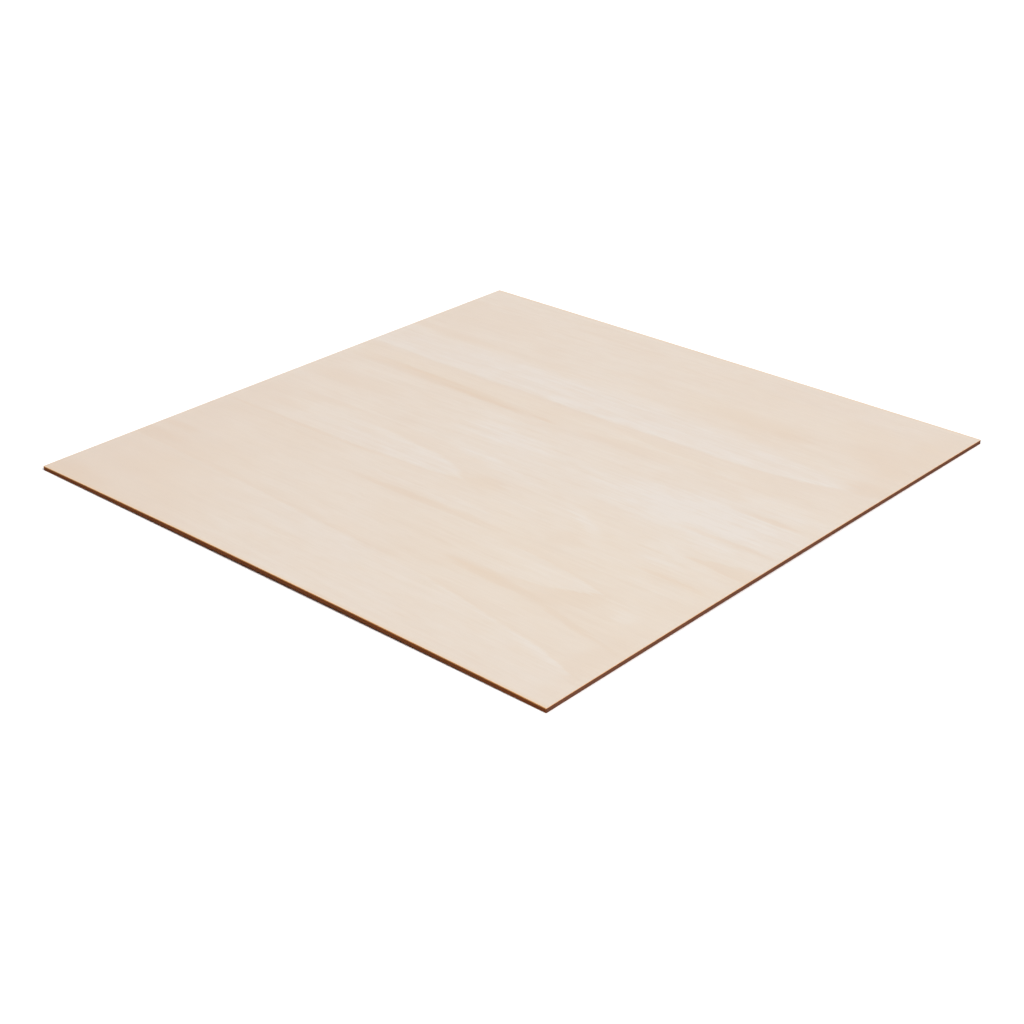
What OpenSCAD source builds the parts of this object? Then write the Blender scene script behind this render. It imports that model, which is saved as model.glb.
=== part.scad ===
// Thin plywood sheet: one pressed board, cut square, lying flat on its underside.
// Millimetres. The origin is the centre of the underside, +X runs along the face grain and +Z is up.

/* [Sheet] */
// Length of the sheet, along the face grain
sheet_length = 300; // [50:1:1220]
// Width of the sheet, across the face grain
sheet_width = 300; // [50:1:1220]
// Thickness of the pressed sheet
sheet_thickness = 2; // [0.8:0.1:25]

/* [Cut edges] */
// Radius that the cutting beam leaves on the four upright corners
corner_radius = 0.2; // [0.1:0.05:10]

/* [Hidden] */

// Colour of the bare face veneer
veneer_colour = [0.91, 0.855, 0.80];
// Sides of the circle that rounds a corner
corner_sides = 48;
// How far the waste cut off a corner reaches past the board, so that the cut is clean
cut_overrun = 1;

// The board before its corners are rounded.
module board() {
    translate([-sheet_length / 2, -sheet_width / 2, 0])
        cube([sheet_length, sheet_width, sheet_thickness]);
}

// The sliver outside the arc of the corner at +X +Y.
module corner_waste() {
    translate([sheet_length / 2 - corner_radius, sheet_width / 2 - corner_radius, -cut_overrun])
        difference() {
            cube([corner_radius + cut_overrun, corner_radius + cut_overrun, sheet_thickness + 2 * cut_overrun]);
            translate([0, 0, -cut_overrun])
                cylinder(r = corner_radius, h = sheet_thickness + 4 * cut_overrun, $fn = corner_sides);
        }
}

// The whole sheet, one solid.
module plywood_sheet() {
    color(veneer_colour)
        difference() {
            board();
            for (flip_x = [0, 1], flip_y = [0, 1])
                mirror([flip_x, 0, 0])
                    mirror([0, flip_y, 0])
                        corner_waste();
        }
}

plywood_sheet();
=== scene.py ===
"""Dresses a thin square plywood sheet: pale, softly figured veneer and scorched cut edges.

Every length below is in metres, except in the materials, which count in millimetres on the sheet:
along the face grain is +X, across it is +Y, and the origin is the middle of the underside.
"""

import math
from typing import NamedTuple

import bmesh
import bpy
from bpy.props import FloatProperty, FloatVectorProperty, IntProperty, PointerProperty
from mathutils import Euler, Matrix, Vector


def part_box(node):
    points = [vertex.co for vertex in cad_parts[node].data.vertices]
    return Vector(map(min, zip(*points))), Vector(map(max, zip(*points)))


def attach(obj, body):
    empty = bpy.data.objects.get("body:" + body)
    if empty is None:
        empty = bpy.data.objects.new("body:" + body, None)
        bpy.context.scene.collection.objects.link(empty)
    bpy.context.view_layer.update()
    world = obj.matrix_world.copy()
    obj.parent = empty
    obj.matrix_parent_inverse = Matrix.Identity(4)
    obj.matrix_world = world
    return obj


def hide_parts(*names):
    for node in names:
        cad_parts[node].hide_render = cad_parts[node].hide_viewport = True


bl_info = {
    "name": "Plywood Sheet",
    "version": (1, 0, 0),
    "blender": (4, 5, 0),
    "location": "View3D > Sidebar > Plywood",
    "description": "Models a thin plywood sheet with figured faces and scorched edges, and its stage",
    "category": "Add Mesh",
}

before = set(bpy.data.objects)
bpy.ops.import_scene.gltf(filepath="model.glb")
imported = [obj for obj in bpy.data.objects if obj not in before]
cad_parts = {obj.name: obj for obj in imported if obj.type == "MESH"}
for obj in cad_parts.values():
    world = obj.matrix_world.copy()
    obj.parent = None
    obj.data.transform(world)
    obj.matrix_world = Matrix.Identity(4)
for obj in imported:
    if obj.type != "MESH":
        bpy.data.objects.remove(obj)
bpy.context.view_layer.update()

MM = 0.001
SHEET_NODE = "plywood_sheet"
SHEET_LOW, SHEET_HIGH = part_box(SHEET_NODE)
SHEET_SPAN = SHEET_HIGH - SHEET_LOW
SHEET_MIDDLE = (SHEET_LOW + SHEET_HIGH) / 2

# Sizes that the materials use, in millimetres
HALF_LENGTH = SHEET_SPAN.x / 2 / MM
HALF_WIDTH = SHEET_SPAN.y / 2 / MM
THICKNESS = SHEET_SPAN.z / MM


def screen_colour(red, green, blue):
    """The linear colour of a screen colour that is given from 0 to 255."""

    def linear(level):
        share = level / 255
        return share / 12.92 if share <= 0.04045 else ((share + 0.055) / 1.055) ** 2.4

    return linear(red), linear(green), linear(blue)


# Sizes and colours that a user would change


def length(label, description, default):
    """A length property."""
    return FloatProperty(name=label, description=description, default=default, min=0.0, unit="LENGTH",
                         subtype="DISTANCE", precision=5)


def colour(label, description, default):
    """A colour property, given as a screen colour."""
    return FloatVectorProperty(name=label, description=description, default=screen_colour(*default),
                               min=0.0, max=1.0, size=3, subtype="COLOR")


def angle(label, description, default):
    """An angle property, given in degrees."""
    return FloatProperty(name=label, description=description, default=math.radians(default),
                         unit="ROTATION", subtype="ANGLE")


class SheetSizes(bpy.types.PropertyGroup):
    """Fine sizes of the sheet, below what its solid holds."""

    corner_radius: length("Corner radius", "Radius that the cutting beam leaves on an upright corner",
                          0.2 * MM)
    arris_radius: length("Arris radius", "Radius that sanding leaves along the rims of both faces",
                         0.06 * MM)
    face_ply: length("Face ply", "Thickness of each of the two face plies", 0.5 * MM)
    glue_line: length("Glue line", "Height of the groove burnt into a glue line", 0.06 * MM)
    glue_depth: length("Glue depth", "Depth of the groove burnt into a glue line", 0.03 * MM)
    front_lift: length("Front lift", "How far the middle of the front edge lies off the floor", 1.0 * MM)
    back_lift: length("Back lift", "How far the middle of the back edge lies off the floor", 0.15 * MM)
    left_lift: length("Left lift", "How far the middle of the left edge lies off the floor", 0.2 * MM)
    right_lift: length("Right lift", "How far the middle of the right edge lies off the floor",
                       0.45 * MM)
    grid_cells: IntProperty(name="Grid cells", default=20, min=4, max=60,
                            description="Cells along each side, which let the sheet bend")


class VeneerColours(bpy.types.PropertyGroup):
    """Colours of the two face veneers."""

    pale: colour("Pale wood", "Palest wood, just inside a growth ring", (234, 224, 214))
    plain: colour("Plain wood", "Wood between the growth rings", (232, 218, 204))
    tan: colour("Tan wood", "Darkest wood, in the streaks", (228, 208, 189))
    straw: colour("Straw wood", "Yellower wood, of which only a hint shows", (241, 224, 197))
    blush: colour("Blush wood", "Pinker wood, of which only a hint shows", (222, 212, 210))
    smoke: colour("Smoke", "Stain that the cutting beam leaves beside an edge", (238, 200, 150))
    scorch: colour("Scorch", "Burn that the cutting beam leaves on the back", (150, 80, 34))


class EdgeColours(bpy.types.PropertyGroup):
    """Colours of the scorched cut edges."""

    amber: colour("Amber", "Lightly scorched wood at the top rim", (224, 151, 78))
    brown: colour("Brown", "Scorched face plies", (146, 81, 37))
    char: colour("Char", "Scorched core", (124, 66, 32))
    ash: colour("Ash", "Greyer scorch where the edge crosses the face grain", (99, 63, 47))


class StageSettings(bpy.types.PropertyGroup):
    """The floor, the light and the camera."""

    floor_colour: colour("Floor", "Colour of the floor", (235, 235, 235))
    sky_strength: FloatProperty(name="Sky", default=1.49,
                                description="Strength of the soft light straight above")
    horizon_strength: FloatProperty(name="Horizon", default=0.015,
                                    description="Strength of the soft light at eye level")
    key_strength: FloatProperty(name="Key lamp", default=2.49,
                                description="Strength of the lamp at the right")
    fill_strength: FloatProperty(name="Fill lamp", default=0.42,
                                 description="Strength of the lamp at the left")
    camera_place: FloatVectorProperty(name="Camera place", subtype="TRANSLATION",
                                      default=(519.1 * MM, -566.0 * MM, 362.0 * MM),
                                      description="Where the camera stands")
    camera_azimuth: angle("Azimuth", "Turn of the camera round the sheet", 41.92)
    camera_elevation: angle("Elevation", "How steeply the camera looks down", 26.93)
    camera_roll: angle("Roll", "Turn of the camera about its own axis", -0.29)
    camera_lens: FloatProperty(name="Lens", default=65.94,
                               description="Focal length in millimetres on a 36 mm sensor")
    camera_shift: FloatProperty(name="Shift", default=-0.0234,
                                description="Sideways shift of the lens, as a share of the picture")


# Materials


class Wire:
    """A shader socket that takes part in Python sums: every operation adds a Math node."""

    def __init__(self, nodes, socket):
        self.nodes = nodes
        self.socket = socket

    def math(self, operation, *values):
        return self.nodes.add("ShaderNodeMath", {"operation": operation}, dict(enumerate(values)))

    def __add__(self, other):
        return self.math("ADD", self, other)

    def __sub__(self, other):
        return self.math("SUBTRACT", self, other)

    def __rsub__(self, other):
        return self.math("SUBTRACT", other, self)

    def __mul__(self, other):
        return self.math("MULTIPLY", self, other)

    def __truediv__(self, other):
        return self.math("DIVIDE", self, other)

    def __neg__(self):
        return self.math("MULTIPLY", self, -1.0)

    def __abs__(self):
        return self.math("ABSOLUTE", self)

    __radd__ = __add__
    __rmul__ = __mul__

    def exp(self):
        return self.math("EXPONENT", self)

    def power(self, exponent):
        return self.math("POWER", self, exponent)

    def fraction(self):
        return self.math("FRACT", self)

    def at_least(self, other):
        return self.math("MAXIMUM", self, other)

    def at_most(self, other):
        return self.math("MINIMUM", self, other)

    def rise(self, low, high):
        """A smooth step from 0 at low to 1 at high."""
        return self.nodes.add("ShaderNodeMapRange", {"interpolation_type": "SMOOTHSTEP"},
                              {"Value": self, "From Min": low, "From Max": high})


class Nodes:
    """A node tree that is written as Python."""

    def __init__(self, tree):
        self.tree = tree

    def add(self, kind, settings, sockets, output=0):
        """Adds a node, makes its settings, then fills or links its sockets, and returns one output."""
        node = self.tree.nodes.new(kind)
        for name, value in settings.items():
            setattr(node, name, value)
        for key, value in sockets.items():
            self.feed(used_socket(node.inputs, key), value)
        return Wire(self, used_socket(node.outputs, output))

    def feed(self, socket, value):
        """Links a wire to a socket, or sets the socket to a value."""
        if isinstance(value, Wire):
            self.tree.links.new(value.socket, socket)
        else:
            socket.default_value = value

    def mix(self, share, first, second):
        """A colour between two colours."""
        return self.add("ShaderNodeMix", {"data_type": "RGBA"},
                        {"Factor": share, "A": opaque(first), "B": opaque(second)})

    def scaled(self, tint, share):
        """A colour made darker or lighter."""
        return self.add("ShaderNodeVectorMath", {"operation": "SCALE"}, {"Vector": tint, "Scale": share})

    def bump(self, height, strength, distance):
        """A normal that follows that fine relief."""
        return self.add("ShaderNodeBump", {},
                        {"Height": height, "Strength": strength, "Distance": distance})

    def noise(self, place, along, across, detail=2.0, start=(0.0, 0.0, 0.0)):
        """Noise from -1 to 1 about, with lumps of that length along the grain and width across it."""
        lumps = self.add("ShaderNodeMapping", {"vector_type": "TEXTURE"},
                         {"Vector": place, "Location": start, "Scale": (along, across, across)})
        level = self.add("ShaderNodeTexNoise", {},
                         {"Vector": lumps, "Scale": 1.0, "Detail": detail, "Roughness": 0.55})
        middle, stretch = 0.5, 3.2
        return (level - middle) * stretch


def used_socket(sockets, key):
    """The socket in use that has that name or position."""
    used = [socket for socket in sockets if socket.enabled]
    if isinstance(key, int):
        return used[key]
    return next(socket for socket in used if socket.name == key)


def opaque(value):
    """A colour property as a socket's four numbers. A wire passes through."""
    return value if isinstance(value, Wire) else (*value, 1.0)


def new_finish(name):
    """A new material, its nodes and its shader."""
    material = bpy.data.materials.new(name)
    material.use_nodes = True
    return material, Nodes(material.node_tree), material.node_tree.nodes["Principled BSDF"]


def sheet_place(nodes):
    """Where a point lies on the sheet, in millimetres."""
    metres = nodes.add("ShaderNodeTexCoord", {}, {}, output="Object")
    return nodes.add("ShaderNodeMapping", {}, {"Vector": metres, "Scale": (1 / MM, 1 / MM, 1 / MM)})


def split(nodes, vector):
    """The three parts of a vector."""
    first = nodes.add("ShaderNodeSeparateXYZ", {}, {"Vector": vector})
    return [Wire(nodes, socket) for socket in first.socket.node.outputs]


# The figure of the face veneer, in millimetres on the sheet. A shade runs from -1, tan, to 1, pale.


class Streak(NamedTuple):
    """A lens of darker or paler wood, drawn out along the grain. The tilt is in degrees."""

    along: float
    across: float
    length: float
    width: float
    shade: float
    tilt: float = 0.0


class Stain(NamedTuple):
    """What the cutting beam leaves beside the edges along the grain, long, and across it, end.

    A reach is how far from the edge it fades, and a share is its strength right at the edge.
    """

    long_reach: float
    long_share: float
    end_reach: float
    end_share: float


class Tongue(NamedTuple):
    """A growth ring that the knife met at a slant, which narrows along the grain to a tip."""

    # Where the tip lies, and 1 where it points along the grain or -1 where it points back
    along: float
    across: float
    heading: int
    # How blunt the tip is, how far behind it the tongue widens, and how wide it gets to each side
    tip: float
    taper: float
    spread: float
    # How far across the grain its middle line moves behind the tip
    lean: float
    # Shades within it, more along its rim, and beyond it, and how far that last one reaches
    inside: float
    rim: float
    outside: float
    reach: float
    # How soft its two edges are
    upper_blur: float
    lower_blur: float
    # Where along the grain it sets in
    fade_from: float
    fade_to: float


STREAKS = (
    # The dark streak below the long pale tongue, its fainter run to the right and paler wood beside it
    Streak(along=-83, across=34.8, length=58, width=4, shade=-0.65, tilt=-0.6),
    Streak(along=-104, across=38.5, length=32, width=1.6, shade=-0.4, tilt=-1.5),
    Streak(along=-56, across=33.2, length=28, width=1.6, shade=-0.45, tilt=-1.5),
    Streak(along=-14, across=34, length=8, width=1.3, shade=-0.5),
    Streak(along=36, across=34.5, length=28, width=4, shade=-0.3),
    Streak(along=40, across=43, length=42, width=1.5, shade=0.3),
    Streak(along=87, across=43, length=8, width=4, shade=0.35),
    Streak(along=40, across=26, length=34, width=6, shade=0.25),
    # Shades within the long pale tongue
    Streak(along=0, across=56.5, length=34, width=3, shade=0.35),
    Streak(along=-118, across=68, length=42, width=8, shade=-0.2),
    Streak(along=85, across=65, length=32, width=5, shade=-0.18),
    # Tan wood above the long pale tongue, with paler streaks in it
    Streak(along=-130, across=86, length=28, width=4, shade=-0.25),
    Streak(along=64, across=97, length=32, width=8, shade=-0.35),
    Streak(along=86, across=94, length=10, width=4, shade=-0.25),
    Streak(along=112, across=81, length=20, width=4, shade=0.35),
    Streak(along=-22, across=93, length=34, width=7, shade=0.2),
    Streak(along=-4, across=83, length=38, width=4, shade=0.3),
    Streak(along=124, across=76, length=9, width=8, shade=0.3),
    Streak(along=143, across=87, length=10, width=9, shade=-0.3),
    Streak(along=132, across=103, length=26, width=12, shade=-0.35),
    Streak(along=142, across=71, length=10, width=7, shade=-0.4),
    Streak(along=-130, across=112, length=42, width=18, shade=-0.2),
    Streak(along=146, across=128, length=14, width=20, shade=-0.3),
    Streak(along=90, across=128, length=60, width=22, shade=-0.12),
    # Pale wood in the middle and at the right
    Streak(along=107, across=4, length=50, width=19, shade=0.95),
    Streak(along=-15, across=8.5, length=32, width=10, shade=0.6),
    Streak(along=30, across=-2, length=52, width=17, shade=0.3),
    Streak(along=-33, across=22, length=28, width=4, shade=0.3),
    Streak(along=-30, across=-12, length=30, width=4, shade=0.3),
    Streak(along=128, across=29.5, length=24, width=7, shade=0.55),
    Streak(along=128, across=-18, length=24, width=7, shade=0.45),
    Streak(along=8, across=-17, length=26, width=3.5, shade=0.5, tilt=-10),
    Streak(along=-12, across=-15.5, length=9, width=3, shade=0.35),
    Streak(along=76, across=-10, length=22, width=4, shade=0.3),
    Streak(along=68, across=-33, length=16, width=3, shade=0.5, tilt=-30),
    Streak(along=110, across=-33, length=11, width=11, shade=0.45),
    Streak(along=125, across=-38, length=20, width=5, shade=0.5),
    Streak(along=126, across=-57, length=20, width=5, shade=0.4),
    Streak(along=131, across=-84, length=5, width=6, shade=0.5),
    # Short dark streaks that run out to the right edge
    Streak(along=124, across=18.2, length=17, width=2, shade=-0.95),
    Streak(along=123, across=-8, length=22, width=2.0, shade=-0.9),
    Streak(along=109, across=-5, length=10, width=2.5, shade=-0.35),
    Streak(along=127, across=-48.8, length=18, width=1.6, shade=-0.5),
    # Tan wood at the left, deepest at the front left corner
    Streak(along=-114, across=9, length=36, width=8, shade=-0.3),
    Streak(along=-105, across=-16, length=22, width=2, shade=-0.25),
    Streak(along=-117, across=-32, length=14, width=4, shade=-0.3),
    Streak(along=-118, across=-70, length=68, width=26, shade=-0.16),
    Streak(along=-98, across=-44.5, length=56, width=1.3, shade=-0.35),
    Streak(along=-152, across=-38, length=34, width=30, shade=-0.35),
    Streak(along=-140, across=-82, length=14, width=3, shade=-0.3),
    Streak(along=-138, across=-93, length=18, width=4, shade=-0.3),
    Streak(along=-165, across=-140, length=110, width=60, shade=-0.5),
    Streak(along=-150, across=-146, length=36, width=10, shade=-0.3),
    # Tan wood round the shorter tongues, with paler streaks between them
    Streak(along=13, across=-33, length=10, width=6, shade=-0.35),
    Streak(along=74, across=-50, length=9, width=6, shade=-0.35),
    Streak(along=72, across=-64, length=24, width=10, shade=-0.2),
    Streak(along=2, across=-63.6, length=42, width=2.4, shade=-0.6, tilt=1.5),
    Streak(along=4, across=-56, length=50, width=3, shade=0.3),
    Streak(along=60, across=-52, length=58, width=36, shade=0.18),
    Streak(along=20, across=-80, length=34, width=9, shade=-0.18),
    Streak(along=70, across=-93.6, length=24, width=3.2, shade=-0.65, tilt=-4),
    Streak(along=104, across=-87, length=18, width=7, shade=-0.35, tilt=35),
    Streak(along=118, across=-101, length=24, width=1.6, shade=-0.4, tilt=-13),
    Streak(along=143, across=-112, length=8, width=24, shade=-0.25),
)

TONGUES = (
    # The long pale tongue
    Tongue(along=132, across=64.8, heading=1, tip=0.7, taper=40, spread=13.5, lean=1.5,
           inside=0.52, rim=0.25, outside=-0.24, reach=9, upper_blur=6.0, lower_blur=1.5,
           fade_from=-230, fade_to=-60),
    # Two shorter pale tongues in front of it
    Tongue(along=1, across=-36.5, heading=1, tip=0.8, taper=36, spread=11.7, lean=3.8,
           inside=0.45, rim=0.25, outside=-0.3, reach=3, upper_blur=1.7, lower_blur=1.4,
           fade_from=-150, fade_to=-10),
    Tongue(along=112, across=-75.5, heading=1, tip=1, taper=20, spread=11.2, lean=-4,
           inside=0.25, rim=0.25, outside=-0.35, reach=3, upper_blur=1.0, lower_blur=1.2,
           fade_from=40, fade_to=85),
    # A tan tongue that comes in from the right edge
    Tongue(along=119, across=-29.5, heading=-1, tip=1, taper=40, spread=11, lean=6,
           inside=-0.32, rim=-0.1, outside=0.2, reach=4, upper_blur=1.0, lower_blur=1.0,
           fade_from=-300, fade_to=-200),
)

# Broad patches where the wood turns to straw, above 0, or to blush, below 0
HUES = (
    Streak(along=96, across=-72, length=92, width=54, shade=1.0),
    Streak(along=6, across=-36, length=13, width=7, shade=0.7),
    Streak(along=48, across=98, length=34, width=10, shade=0.6),
    Streak(along=-40, across=42, length=130, width=8, shade=0.6),
    Streak(along=-20, across=65, length=190, width=14, shade=-0.9),
    Streak(along=104, across=6, length=50, width=16, shade=-0.8),
    Streak(along=-15, across=8, length=20, width=8, shade=-0.6),
    Streak(along=-52, across=-35, length=48, width=7, shade=-0.5),
    Streak(along=-12, across=-114, length=42, width=8, shade=-0.5),
    Streak(along=-158, across=-80, length=42, width=90, shade=-0.6),
    Streak(along=100, across=142, length=70, width=14, shade=-0.7),
)


def dot(nodes, first, second):
    """The dot product of two vectors."""
    return nodes.add("ShaderNodeVectorMath", {"operation": "DOT_PRODUCT"}, {0: first, 1: second},
                     output="Value")


def streak_shade(nodes, place, streak):
    """Shade that one streak adds.

    Dot products place it, because one material can't hold a Mapping node for each streak.
    """
    cosine = math.cos(math.radians(streak.tilt))
    sine = math.sin(math.radians(streak.tilt))
    offset = nodes.add("ShaderNodeVectorMath", {"operation": "SUBTRACT"},
                       {0: place, 1: (streak.along, streak.across, 0.0)})
    along = dot(nodes, offset, (cosine / streak.length, sine / streak.length, 0.0))
    across = dot(nodes, offset, (-sine / streak.width, cosine / streak.width, 0.0))
    spread = along * along + across * across
    return (-(spread * spread)).exp() * streak.shade


def ring_shade(depth, blur, inside, rim, outside, reach):
    """Shade on the two sides of a growth ring's edge. depth is how far a point lies inside it."""
    rim_width = 3.0
    within = (depth / blur).rise(-1.0, 1.0)
    inner = (-(depth.at_least(0.0) / rim_width)).exp() * rim + inside
    outer = (depth.at_most(0.0) / reach).exp() * outside
    return outer + (inner - outer) * within


def tongue_shade(along, across, tongue):
    """Shade that one tongue adds."""
    blur_change = 2.0
    widening = 1 - ((along - tongue.along) * (tongue.heading / tongue.taper)).exp()
    opening = widening.at_least(0.0).power(tongue.tip) + widening.at_most(0.0)
    side = across - (opening * tongue.lean + tongue.across)
    depth = opening * tongue.spread - abs(side)
    upper = side.rise(-blur_change, blur_change)
    blur = upper * (tongue.upper_blur - tongue.lower_blur) + tongue.lower_blur
    shade = ring_shade(depth, blur, tongue.inside, tongue.rim, tongue.outside, tongue.reach)
    return shade * along.rise(tongue.fade_from, tongue.fade_to)


def front_ring_shade(along, across):
    """Shade of the long growth ring near the front edge, which drops towards its right end."""
    left_end, slope = -98.2, 0.06
    drop, drop_end, drop_length = 11.5, 139.5, 41
    ring = left_end - (along + HALF_LENGTH) * slope - ((along - drop_end) / drop_length).exp() * drop
    # The wood in front of it grows paler to the right, up to just short of the edge
    paler = along.rise(-160, 40) * (1 - along.rise(137, 145))
    # The ring is faint for a stretch right of the middle
    firm = 1 - along.rise(5, 25) * (1 - along.rise(42, 62)) * 0.6
    # Further right its dark side fades by half, and its pale rim grows
    dark = firm * (1 - along.rise(70, 110) * 0.5)
    rim = paler * firm * (along.rise(60, 110) * 0.5 + 0.5)
    return ring_shade(ring - across, blur=1.5, inside=paler * 0.12, rim=rim, outside=dark * -0.42,
                      reach=2.0)


def face_shade(nodes, place, strands):
    """The face veneer's figure, from -1, tan, to 1, pale.

    Its lines waver and are ragged, and its strands end a little before or after each other.
    """
    warp = nodes.noise(place, along=70, across=22)
    ragged = nodes.noise(place, along=14, across=1.4, start=(40.0, 0.0, 0.0))
    nicks = nodes.noise(place, along=4, across=0.9, start=(0.0, 15.0, 0.0))
    along, across = split(nodes, place)[:2]
    across = across + warp * 1.2 + ragged * 0.75 + nicks * 0.55
    along = along + warp * 4.0 + strands * 5.0
    moved_place = nodes.add("ShaderNodeCombineXYZ", {}, {"X": along, "Y": across, "Z": 0.0})
    shade = front_ring_shade(along, across)
    for tongue in TONGUES:
        shade = shade + tongue_shade(along, across, tongue)
    for streak in STREAKS:
        shade = shade + streak_shade(nodes, moved_place, streak)
    return shade


def face_hue(nodes, place):
    """How far the face veneer turns to straw, above 0, or to blush, below 0."""
    hue = split(nodes, place)[0] * (0.3 / HALF_LENGTH)
    for patch in HUES:
        hue = hue + streak_shade(nodes, place, patch)
    return hue


def back_hue(nodes, place):
    """How far the back veneer turns to straw or to blush: in wide patches."""
    return nodes.noise(place, along=90, across=40, start=(300.0, 20.0, 0.0))


def back_shade(nodes, place, strands):
    """The back veneer's figure, from -1, tan, to 1, pale: soft rings that wander along the grain."""
    spacing, wander, contrast = 26.0, 16.0, 1.1
    edge, middle = 0.12, 0.45
    warp = nodes.noise(place, along=150, across=60, start=(500.0, 90.0, 0.0))
    across = split(nodes, place)[1] + warp * wander + strands * 0.5
    ring = (across / spacing).fraction()
    return (ring.rise(0.0, edge) - ring - middle) * contrast


FACE_SMOKE = Stain(long_reach=0.6, long_share=0.7, end_reach=0.3, end_share=0.3)
BACK_SMOKE = Stain(long_reach=7.0, long_share=1.0, end_reach=5.0, end_share=0.9)
BACK_SCORCH = Stain(long_reach=4.0, long_share=1.8, end_reach=2.5, end_share=1.6)


def veneer_finish(name, draw_shade, draw_hue, colours, stains):
    """Bare sanded veneer: drawn figure, fine fibres, stains beside the cut and painted light from the
    right.
    """
    material, nodes, shader = new_finish(name)
    place = sheet_place(nodes)
    clouds = nodes.noise(place, along=45, across=14, start=(10.0, 70.0, 0.0))
    blotches = nodes.noise(place, along=13, across=5, start=(80.0, 0.0, 0.0))
    strands = nodes.noise(place, along=32, across=1.7, detail=3.0, start=(0.0, 30.0, 0.0))
    fibres = nodes.noise(place, along=7, across=0.35, detail=2.0)
    figure = draw_shade(nodes, place, strands)
    mottle = clouds * 0.2 + blotches * 0.2 + strands * 0.15 + fibres * 0.06 - 0.1
    shade = figure * (strands * 0.5 + blotches * 0.45 + 1) + mottle
    wood = nodes.mix((shade + 1).at_least(0.0).at_most(1.0), colours.tan, colours.plain)
    wood = nodes.mix(shade.at_least(0.0).at_most(1.0), wood, colours.pale)

    hint = 0.1
    patches = nodes.noise(place, along=16, across=7, start=(0.0, 200.0, 0.0))
    hue = draw_hue(nodes, place) + patches * 0.35
    wood = nodes.mix(hue.at_least(0.0) * hint, wood, colours.straw)
    wood = nodes.mix((-hue).at_least(0.0) * hint, wood, colours.blush)

    along, across = split(nodes, place)[:2]
    # Fibres and strands make the wood a little lighter or darker. The rest is painted light: the veneer
    # is painted lighter towards its right end, as light from the right would fall.
    grain_tone_and_painted_light = fibres * 0.011 + strands * 0.012 + along * (0.011 / HALF_LENGTH) + 1
    wood = nodes.scaled(wood, grain_tone_and_painted_light)
    drift = blotches * 0.3 + strands * 0.2
    for stain, tint in stains:
        beside_long = ((abs(across) - HALF_WIDTH) / stain.long_reach + drift).exp() * stain.long_share
        beside_end = ((abs(along) - HALF_LENGTH) / stain.end_reach + drift).exp() * stain.end_share
        wood = nodes.mix(beside_long.at_least(beside_end).at_most(1.0), wood, tint)
    nodes.feed(shader.inputs["Base Color"], wood)
    nodes.feed(shader.inputs["Roughness"], 0.7 - shade * 0.04 + fibres * 0.05)
    shader.inputs["Specular IOR Level"].default_value = 0.3
    nodes.feed(shader.inputs["Normal"], nodes.bump(fibres + strands * 0.5, 0.35, 0.02 * MM))
    return material


PLY_HEIGHT = "ply_height"


def edge_finish(name, sizes, colours):
    """Plywood cut by a beam: an amber rim, brown face plies, a charred core and upright burn marks."""
    material, nodes, shader = new_finish(name)
    along, across = split(nodes, sheet_place(nodes))[:2]
    level = nodes.add("ShaderNodeAttribute", {"attribute_name": PLY_HEIGHT}, {}, output="Fac") / MM
    run = along + across
    marks_place = nodes.add("ShaderNodeCombineXYZ", {}, {"X": level, "Y": run, "Z": 0.0})
    marks = nodes.noise(marks_place, along=2.5, across=0.22)
    patches = nodes.noise(marks_place, along=6.0, across=9.0, start=(3.0, 0.0, 0.0))

    # Along two sides the beam crosses the face grain: the burn is greyer there and the rim thinner
    end_grain = abs(along).rise(HALF_LENGTH - 0.25, HALF_LENGTH - 0.05)
    long_rim, end_rim = 0.75, 0.25
    blend = 0.05
    from_core = abs(level - THICKNESS / 2)
    glue_height = THICKNESS / 2 - sizes.face_ply / MM
    face_ply = from_core.rise(glue_height - blend, glue_height + blend)
    burn = nodes.mix(face_ply * 0.45, colours.char, colours.brown)
    burn = nodes.mix(end_grain * 0.9, burn, colours.ash)
    rim_depth = long_rim - end_grain * (long_rim - end_rim)
    rim = (level + marks * blend + patches * blend).rise(THICKNESS - rim_depth, THICKNESS - blend)
    burn = nodes.mix(rim, burn, colours.amber)

    # Glue lines are darker, and the burn grows lighter towards the front right corner
    glue_blend = 0.04
    glue = (-(abs(from_core - glue_height) / glue_blend)).exp()
    drift = along * (0.1 / HALF_LENGTH) - across * (0.07 / HALF_WIDTH)
    light = drift + 1.04 - (marks * 0.16 + patches * 0.13 + glue * 0.25)
    nodes.feed(shader.inputs["Base Color"], nodes.scaled(burn, light))
    nodes.feed(shader.inputs["Roughness"], 0.78 + marks * 0.06)
    shader.inputs["Specular IOR Level"].default_value = 0.1
    nodes.feed(shader.inputs["Normal"], nodes.bump(marks, 0.4, 0.03 * MM))
    return material


# The sheet

FLAT = 0.9  # A mesh face whose normal is more upright than this belongs to the sheet's face or back
CORNER_STEPS = 12
ARRIS_STEPS = 3
SMOOTH_ANGLE = math.radians(12)

# The map that finishes are baked through, and its rows as shares of its height
TEXTURE_MAP = "OFBake"
FACE_ROW = (0.43, 0.995)
BACK_ROW = (0.105, 0.42)
FRONT_ROW = (0.005, 0.022)
RIGHT_ROW = (0.028, 0.045)
REAR_ROW = (0.051, 0.068)
LEFT_ROW = (0.074, 0.091)


def select_only(kind, test):
    """Selects only those faces or edges of the edited mesh that pass the test."""
    bpy.ops.mesh.select_mode(type="FACE" if kind == "faces" else "EDGE")
    bpy.ops.mesh.select_all(action="DESELECT")
    mesh = bpy.context.edit_object.data
    work = bmesh.from_edit_mesh(mesh)
    for part in getattr(work, kind):
        if test(part):
            part.select_set(True)
    bmesh.update_edit_mesh(mesh)


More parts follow.
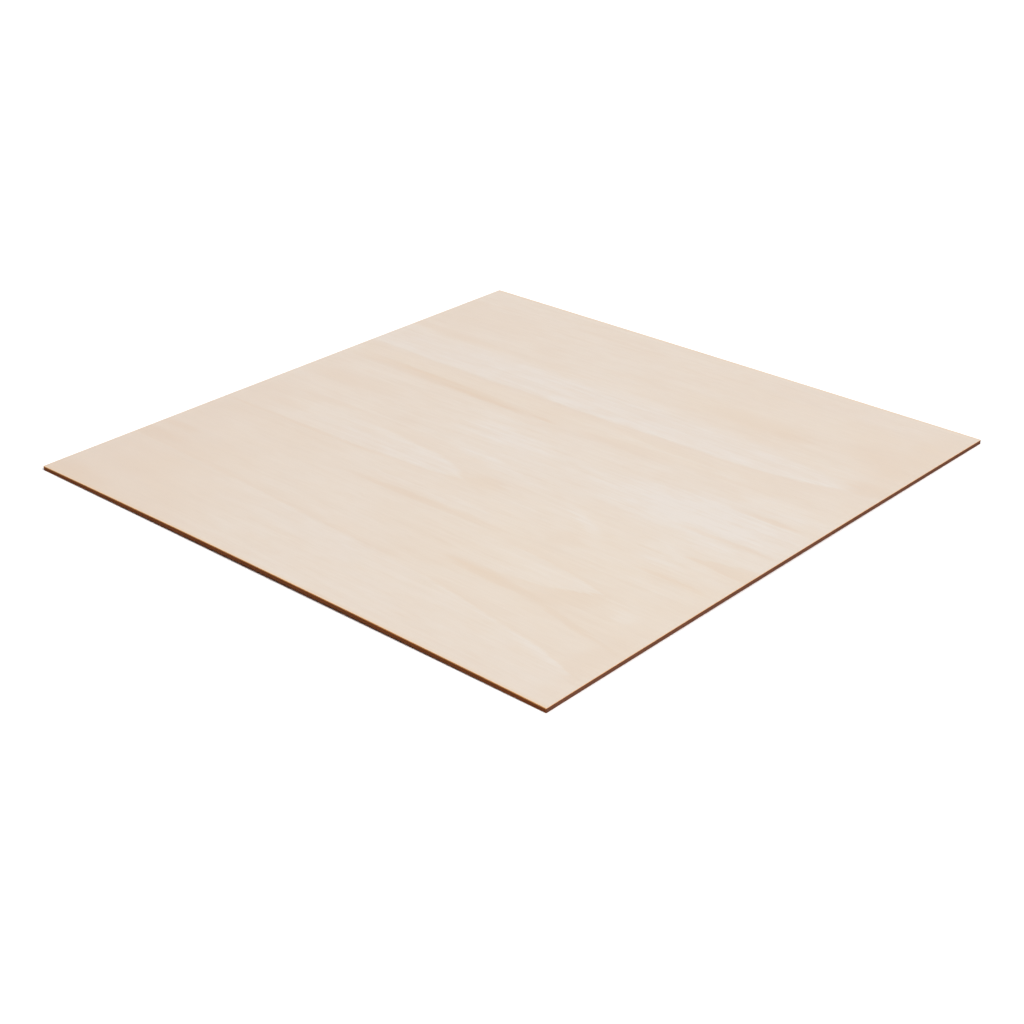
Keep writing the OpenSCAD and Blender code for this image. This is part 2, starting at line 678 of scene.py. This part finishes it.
def cut_blank(sizes):
    """Adds the sheet's outline on the floor, cut to size with its corners rounded."""
    bpy.ops.object.select_all(action="DESELECT")
    on_floor = (SHEET_MIDDLE.x, SHEET_MIDDLE.y, SHEET_LOW.z)
    bpy.ops.mesh.primitive_plane_add(size=SHEET_SPAN.x, location=on_floor)
    sheet = bpy.context.object
    sheet.name = sheet.data.name = "sheet"
    bpy.ops.object.transform_apply(location=True, rotation=False, scale=False)
    bpy.ops.object.mode_set(mode="EDIT")
    bpy.ops.transform.resize(value=(1.0, SHEET_SPAN.y / SHEET_SPAN.x, 1.0), center_override=SHEET_MIDDLE)
    bpy.ops.mesh.bevel(offset=sizes.corner_radius, segments=CORNER_STEPS, profile=0.5, affect="VERTICES")
    return sheet


def stack_plies(sizes):
    """Extrudes the outline ply by ply, with a fine groove along each glue line."""
    half_glue = sizes.glue_line / 2
    top = SHEET_SPAN.z
    levels = [0.0]
    insets = [0.0]
    for middle in (sizes.face_ply, top - sizes.face_ply):
        levels += [middle - half_glue, middle, middle + half_glue]
        insets += [0.0, sizes.glue_depth, 0.0]
    levels.append(top)
    insets.append(0.0)
    for below, above, inset_below, inset_above in zip(levels, levels[1:], insets, insets[1:]):
        bpy.ops.mesh.extrude_region_move(TRANSFORM_OT_translate={"value": (0.0, 0.0, above - below)})
        grown = [(span - 2 * inset_above) / (span - 2 * inset_below) for span in SHEET_SPAN.xy]
        bpy.ops.transform.resize(value=(*grown, 1.0), center_override=SHEET_MIDDLE)
    bpy.ops.mesh.select_all(action="SELECT")
    bpy.ops.mesh.normals_make_consistent(inside=False)


def ease_rims(sizes):
    """Rounds the rims of both faces as sanding does."""
    hair = 0.001 * MM

    def on_rim(edge):
        heights = [vertex.co.z for vertex in edge.verts]
        return max(heights) < SHEET_LOW.z + hair or min(heights) > SHEET_HIGH.z - hair

    select_only("edges", on_rim)
    bpy.ops.mesh.bevel(offset=sizes.arris_radius, segments=ARRIS_STEPS, profile=0.5, affect="EDGES")


def cut_grid(sizes):
    """Cuts the sheet into cells, so that it can bend."""
    for axis in (Vector((1.0, 0.0, 0.0)), Vector((0.0, 1.0, 0.0))):
        cell = axis.dot(SHEET_SPAN) / sizes.grid_cells
        for count in range(1, sizes.grid_cells):
            bpy.ops.mesh.select_all(action="SELECT")
            bpy.ops.mesh.bisect(plane_co=SHEET_LOW + axis * cell * count, plane_no=axis)


def note_ply_heights(sheet):
    """Keeps each point's height in the flat sheet, which the edge's plies follow when it bends."""
    heights = sheet.data.attributes.new(PLY_HEIGHT, "FLOAT", "POINT")
    heights.data.foreach_set("value", [vertex.co.z - SHEET_LOW.z for vertex in sheet.data.vertices])


def texture_place(normal, place):
    """Where a corner of a mesh face lies on the texture map.

    On both faces the map's width runs across the grain, where the wood is finest.
    """
    along, across, level = ((place - SHEET_LOW)[axis] / SHEET_SPAN[axis] for axis in range(3))
    if normal.z > FLAT:
        side, up, row = across, 1 - along, FACE_ROW
    elif normal.z < -FLAT:
        side, up, row = across, along, BACK_ROW
    elif abs(normal.y) > abs(normal.x):
        side, up, row = (along, level, FRONT_ROW) if normal.y < 0 else (1 - along, level, REAR_ROW)
    else:
        side, up, row = (across, level, RIGHT_ROW) if normal.x > 0 else (1 - across, level, LEFT_ROW)
    low, high = row
    return side, low + (high - low) * up


def lay_out(sheet):
    """Lays the sheet's faces and cut edges out on a map, for finishes that are baked to a texture."""
    mesh = sheet.data
    layout = mesh.uv_layers.new(name=TEXTURE_MAP)
    for face in mesh.polygons:
        for corner in face.loop_indices:
            place = mesh.vertices[mesh.loops[corner].vertex_index].co
            layout.uv[corner].vector = texture_place(face.normal, place)


def bow(sheet, sizes):
    """Bends the sheet as a thin board lies: on its corners, and a little off the floor between them."""
    cells = 6
    reach = 1.5  # The cage's size, as a multiple of the sheet's
    bpy.ops.object.add(type="LATTICE", location=SHEET_MIDDLE)
    cage = bpy.context.object
    cage.scale = SHEET_SPAN * reach
    cage.data.points_u = cage.data.points_v = cells + 1
    cage.data.points_w = 2
    cage.data.interpolation_type_u = cage.data.interpolation_type_v = "KEY_CARDINAL"
    for point in cage.data.points:
        along = 2 * reach * point.co.x
        across = 2 * reach * point.co.y
        front_to_back = sizes.front_lift + (sizes.back_lift - sizes.front_lift) * (across + 1) / 2
        left_to_right = sizes.left_lift + (sizes.right_lift - sizes.left_lift) * (along + 1) / 2
        lift = (1 - along**2) * front_to_back + (1 - across**2) * left_to_right
        point.co_deform.z += lift / cage.scale.z
    bpy.ops.object.select_all(action="DESELECT")
    sheet.select_set(True)
    bpy.context.view_layer.objects.active = sheet
    bpy.ops.object.modifier_add(type="LATTICE")
    bend = sheet.modifiers[-1]
    bend.object = cage
    bpy.ops.object.modifier_apply(modifier=bend.name)
    bpy.data.objects.remove(cage)


def paint(sheet, finishes):
    """Gives the face, the back and the cut edges their materials."""
    for material in finishes:
        sheet.data.materials.append(material)
    sides = (
        lambda face: face.normal.z > FLAT,
        lambda face: face.normal.z < -FLAT,
        lambda face: abs(face.normal.z) <= FLAT,
    )
    bpy.ops.object.mode_set(mode="EDIT")
    for number, on_side in enumerate(sides):
        select_only("faces", on_side)
        sheet.active_material_index = number
        bpy.ops.object.material_slot_assign()
    bpy.ops.object.mode_set(mode="OBJECT")


class PLYWOOD_OT_make_sheet(bpy.types.Operator):
    """Model the sheet: one pressed board, cut square, with scorched edges and a slight bow."""

    bl_idname = "plywood.make_sheet"
    bl_label = "Make Sheet"

    def execute(self, context):
        scene = context.scene
        sizes = scene.plywood_sizes
        sheet = cut_blank(sizes)
        stack_plies(sizes)
        ease_rims(sizes)
        cut_grid(sizes)
        bpy.ops.object.mode_set(mode="OBJECT")
        note_ply_heights(sheet)
        lay_out(sheet)
        veneer = scene.plywood_veneer
        face_stains = [(FACE_SMOKE, veneer.smoke)]
        back_stains = [(BACK_SMOKE, veneer.smoke), (BACK_SCORCH, veneer.scorch)]
        paint(sheet, [
            veneer_finish("face_veneer", face_shade, face_hue, veneer, face_stains),
            veneer_finish("back_veneer", back_shade, back_hue, veneer, back_stains),
            edge_finish("scorched_edge", sizes, scene.plywood_edge),
        ])
        bow(sheet, sizes)
        bpy.ops.object.shade_smooth_by_angle(angle=SMOOTH_ANGLE)
        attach(sheet, "root")
        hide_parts(SHEET_NODE)
        return {"FINISHED"}


# The stage

WHITE = 1.2  # Shows as pure white
FLOOR_SIZE = 12.0
FLOOR_DROP = 0.05 * MM  # Keeps the floor clear of the underside
KEY_PLACE = Vector((1.0, 0.0, 1.1))
KEY_WIDTH = math.radians(20)
FILL_PLACE = Vector((-1.0, 0.0, 0.8))
FILL_WIDTH = math.radians(40)
SENSOR_WIDTH = 36.0  # In millimetres, as the lens
NEAR_CLIP = 10 * MM


def lay_floor(stage):
    """A floor that shows white to the eye and keeps the sheet's shadow."""
    bpy.ops.object.select_all(action="DESELECT")
    bpy.ops.mesh.primitive_plane_add(size=FLOOR_SIZE, location=(0.0, 0.0, SHEET_LOW.z - FLOOR_DROP))
    floor = bpy.context.object
    floor.name = "floor"
    material, nodes, shader = new_finish("floor_paper")
    shader.inputs["Roughness"].default_value = 1.0
    shader.inputs["Specular IOR Level"].default_value = 0.0
    seen = seen_directly(nodes)
    nodes.feed(shader.inputs["Base Color"], nodes.mix(seen, stage.floor_colour, (WHITE, WHITE, WHITE)))
    floor.data.materials.append(material)


def seen_directly(nodes):
    """1 for a ray from the camera, a reflection or a clear surface, and 0 for light's own bounces."""
    path = nodes.add("ShaderNodeLightPath", {}, {}, output="Is Camera Ray")
    outputs = path.socket.node.outputs
    glossy = Wire(nodes, outputs["Is Glossy Ray"])
    clear = Wire(nodes, outputs["Is Transmission Ray"])
    return path.at_least(glossy).at_least(clear)


def light_stage(scene, stage):
    """Soft light from above, a key lamp at the right and a weak fill lamp at the left."""
    world = bpy.data.worlds.new("studio")
    world.use_nodes = True
    scene.world = world
    nodes = Nodes(world.node_tree)
    sky = world.node_tree.nodes["Background"]
    sky.inputs["Color"].default_value = (1.0, 1.0, 1.0, 1.0)
    direction = nodes.add("ShaderNodeTexCoord", {}, {}, output="Generated")
    upward = split(nodes, direction)[2].at_least(0.0)
    squared = upward * upward
    overhead = squared * squared * squared * squared
    glow = overhead * (stage.sky_strength - stage.horizon_strength) + stage.horizon_strength
    nodes.feed(sky.inputs["Strength"], glow + (WHITE - glow) * seen_directly(nodes))
    hang_lamp("key_lamp", KEY_PLACE, stage.key_strength, KEY_WIDTH)
    hang_lamp("fill_lamp", FILL_PLACE, stage.fill_strength, FILL_WIDTH)


def hang_lamp(name, place, strength, width):
    """Adds a far lamp that shines on the sheet and looks that wide from there."""
    aim = (SHEET_MIDDLE - place).to_track_quat("-Z", "Y").to_euler()
    bpy.ops.object.light_add(type="SUN", location=place, rotation=aim)
    lamp = bpy.context.object
    lamp.name = name
    lamp.data.angle = width
    lamp.data.energy = strength


def set_camera(scene, stage):
    """Stands the camera where the photograph was taken from."""
    turn = Euler((math.pi / 2 - stage.camera_elevation, 0.0, stage.camera_azimuth)).to_matrix()
    roll = Euler((0.0, 0.0, stage.camera_roll)).to_matrix()
    bpy.ops.object.camera_add(location=stage.camera_place, rotation=(turn @ roll).to_euler())
    camera = bpy.context.object
    camera.data.lens = stage.camera_lens
    camera.data.sensor_width = SENSOR_WIDTH
    camera.data.shift_x = stage.camera_shift
    camera.data.clip_start = NEAR_CLIP
    scene.camera = camera


class PLYWOOD_OT_set_stage(bpy.types.Operator):
    """Set up the floor, the light and the camera."""

    bl_idname = "plywood.set_stage"
    bl_label = "Set Stage"

    def execute(self, context):
        scene = context.scene
        scene.view_settings.view_transform = "Standard"
        lay_floor(scene.plywood_stage)
        light_stage(scene, scene.plywood_stage)
        set_camera(scene, scene.plywood_stage)
        return {"FINISHED"}


# The add-on


class PLYWOOD_PT_sidebar(bpy.types.Panel):
    """Lists the sheet's operators and settings."""

    bl_label = "Plywood Sheet"
    bl_space_type = "VIEW_3D"
    bl_region_type = "UI"
    bl_category = "Plywood"

    def draw(self, context):
        for operator in (PLYWOOD_OT_set_stage, PLYWOOD_OT_make_sheet):
            self.layout.operator(operator.bl_idname)
        for attribute in SETTINGS:
            settings = getattr(context.scene, attribute)
            box = self.layout.box()
            for name in settings.__annotations__:
                box.prop(settings, name)


SETTINGS = {
    "plywood_sizes": SheetSizes,
    "plywood_veneer": VeneerColours,
    "plywood_edge": EdgeColours,
    "plywood_stage": StageSettings,
}
CLASSES = (*SETTINGS.values(), PLYWOOD_OT_set_stage, PLYWOOD_OT_make_sheet, PLYWOOD_PT_sidebar)


def register():
    """Registers the classes and puts the settings on the scene."""
    for each in CLASSES:
        bpy.utils.register_class(each)
    for attribute, group in SETTINGS.items():
        setattr(bpy.types.Scene, attribute, PointerProperty(type=group))


def unregister():
    """Takes the settings and the classes away again."""
    for attribute in SETTINGS:
        delattr(bpy.types.Scene, attribute)
    for each in reversed(CLASSES):
        bpy.utils.unregister_class(each)


def main():
    """Builds the stage and the sheet."""
    register()
    bpy.ops.plywood.set_stage()
    bpy.ops.plywood.make_sheet()


if __name__ == "__main__":
    main()
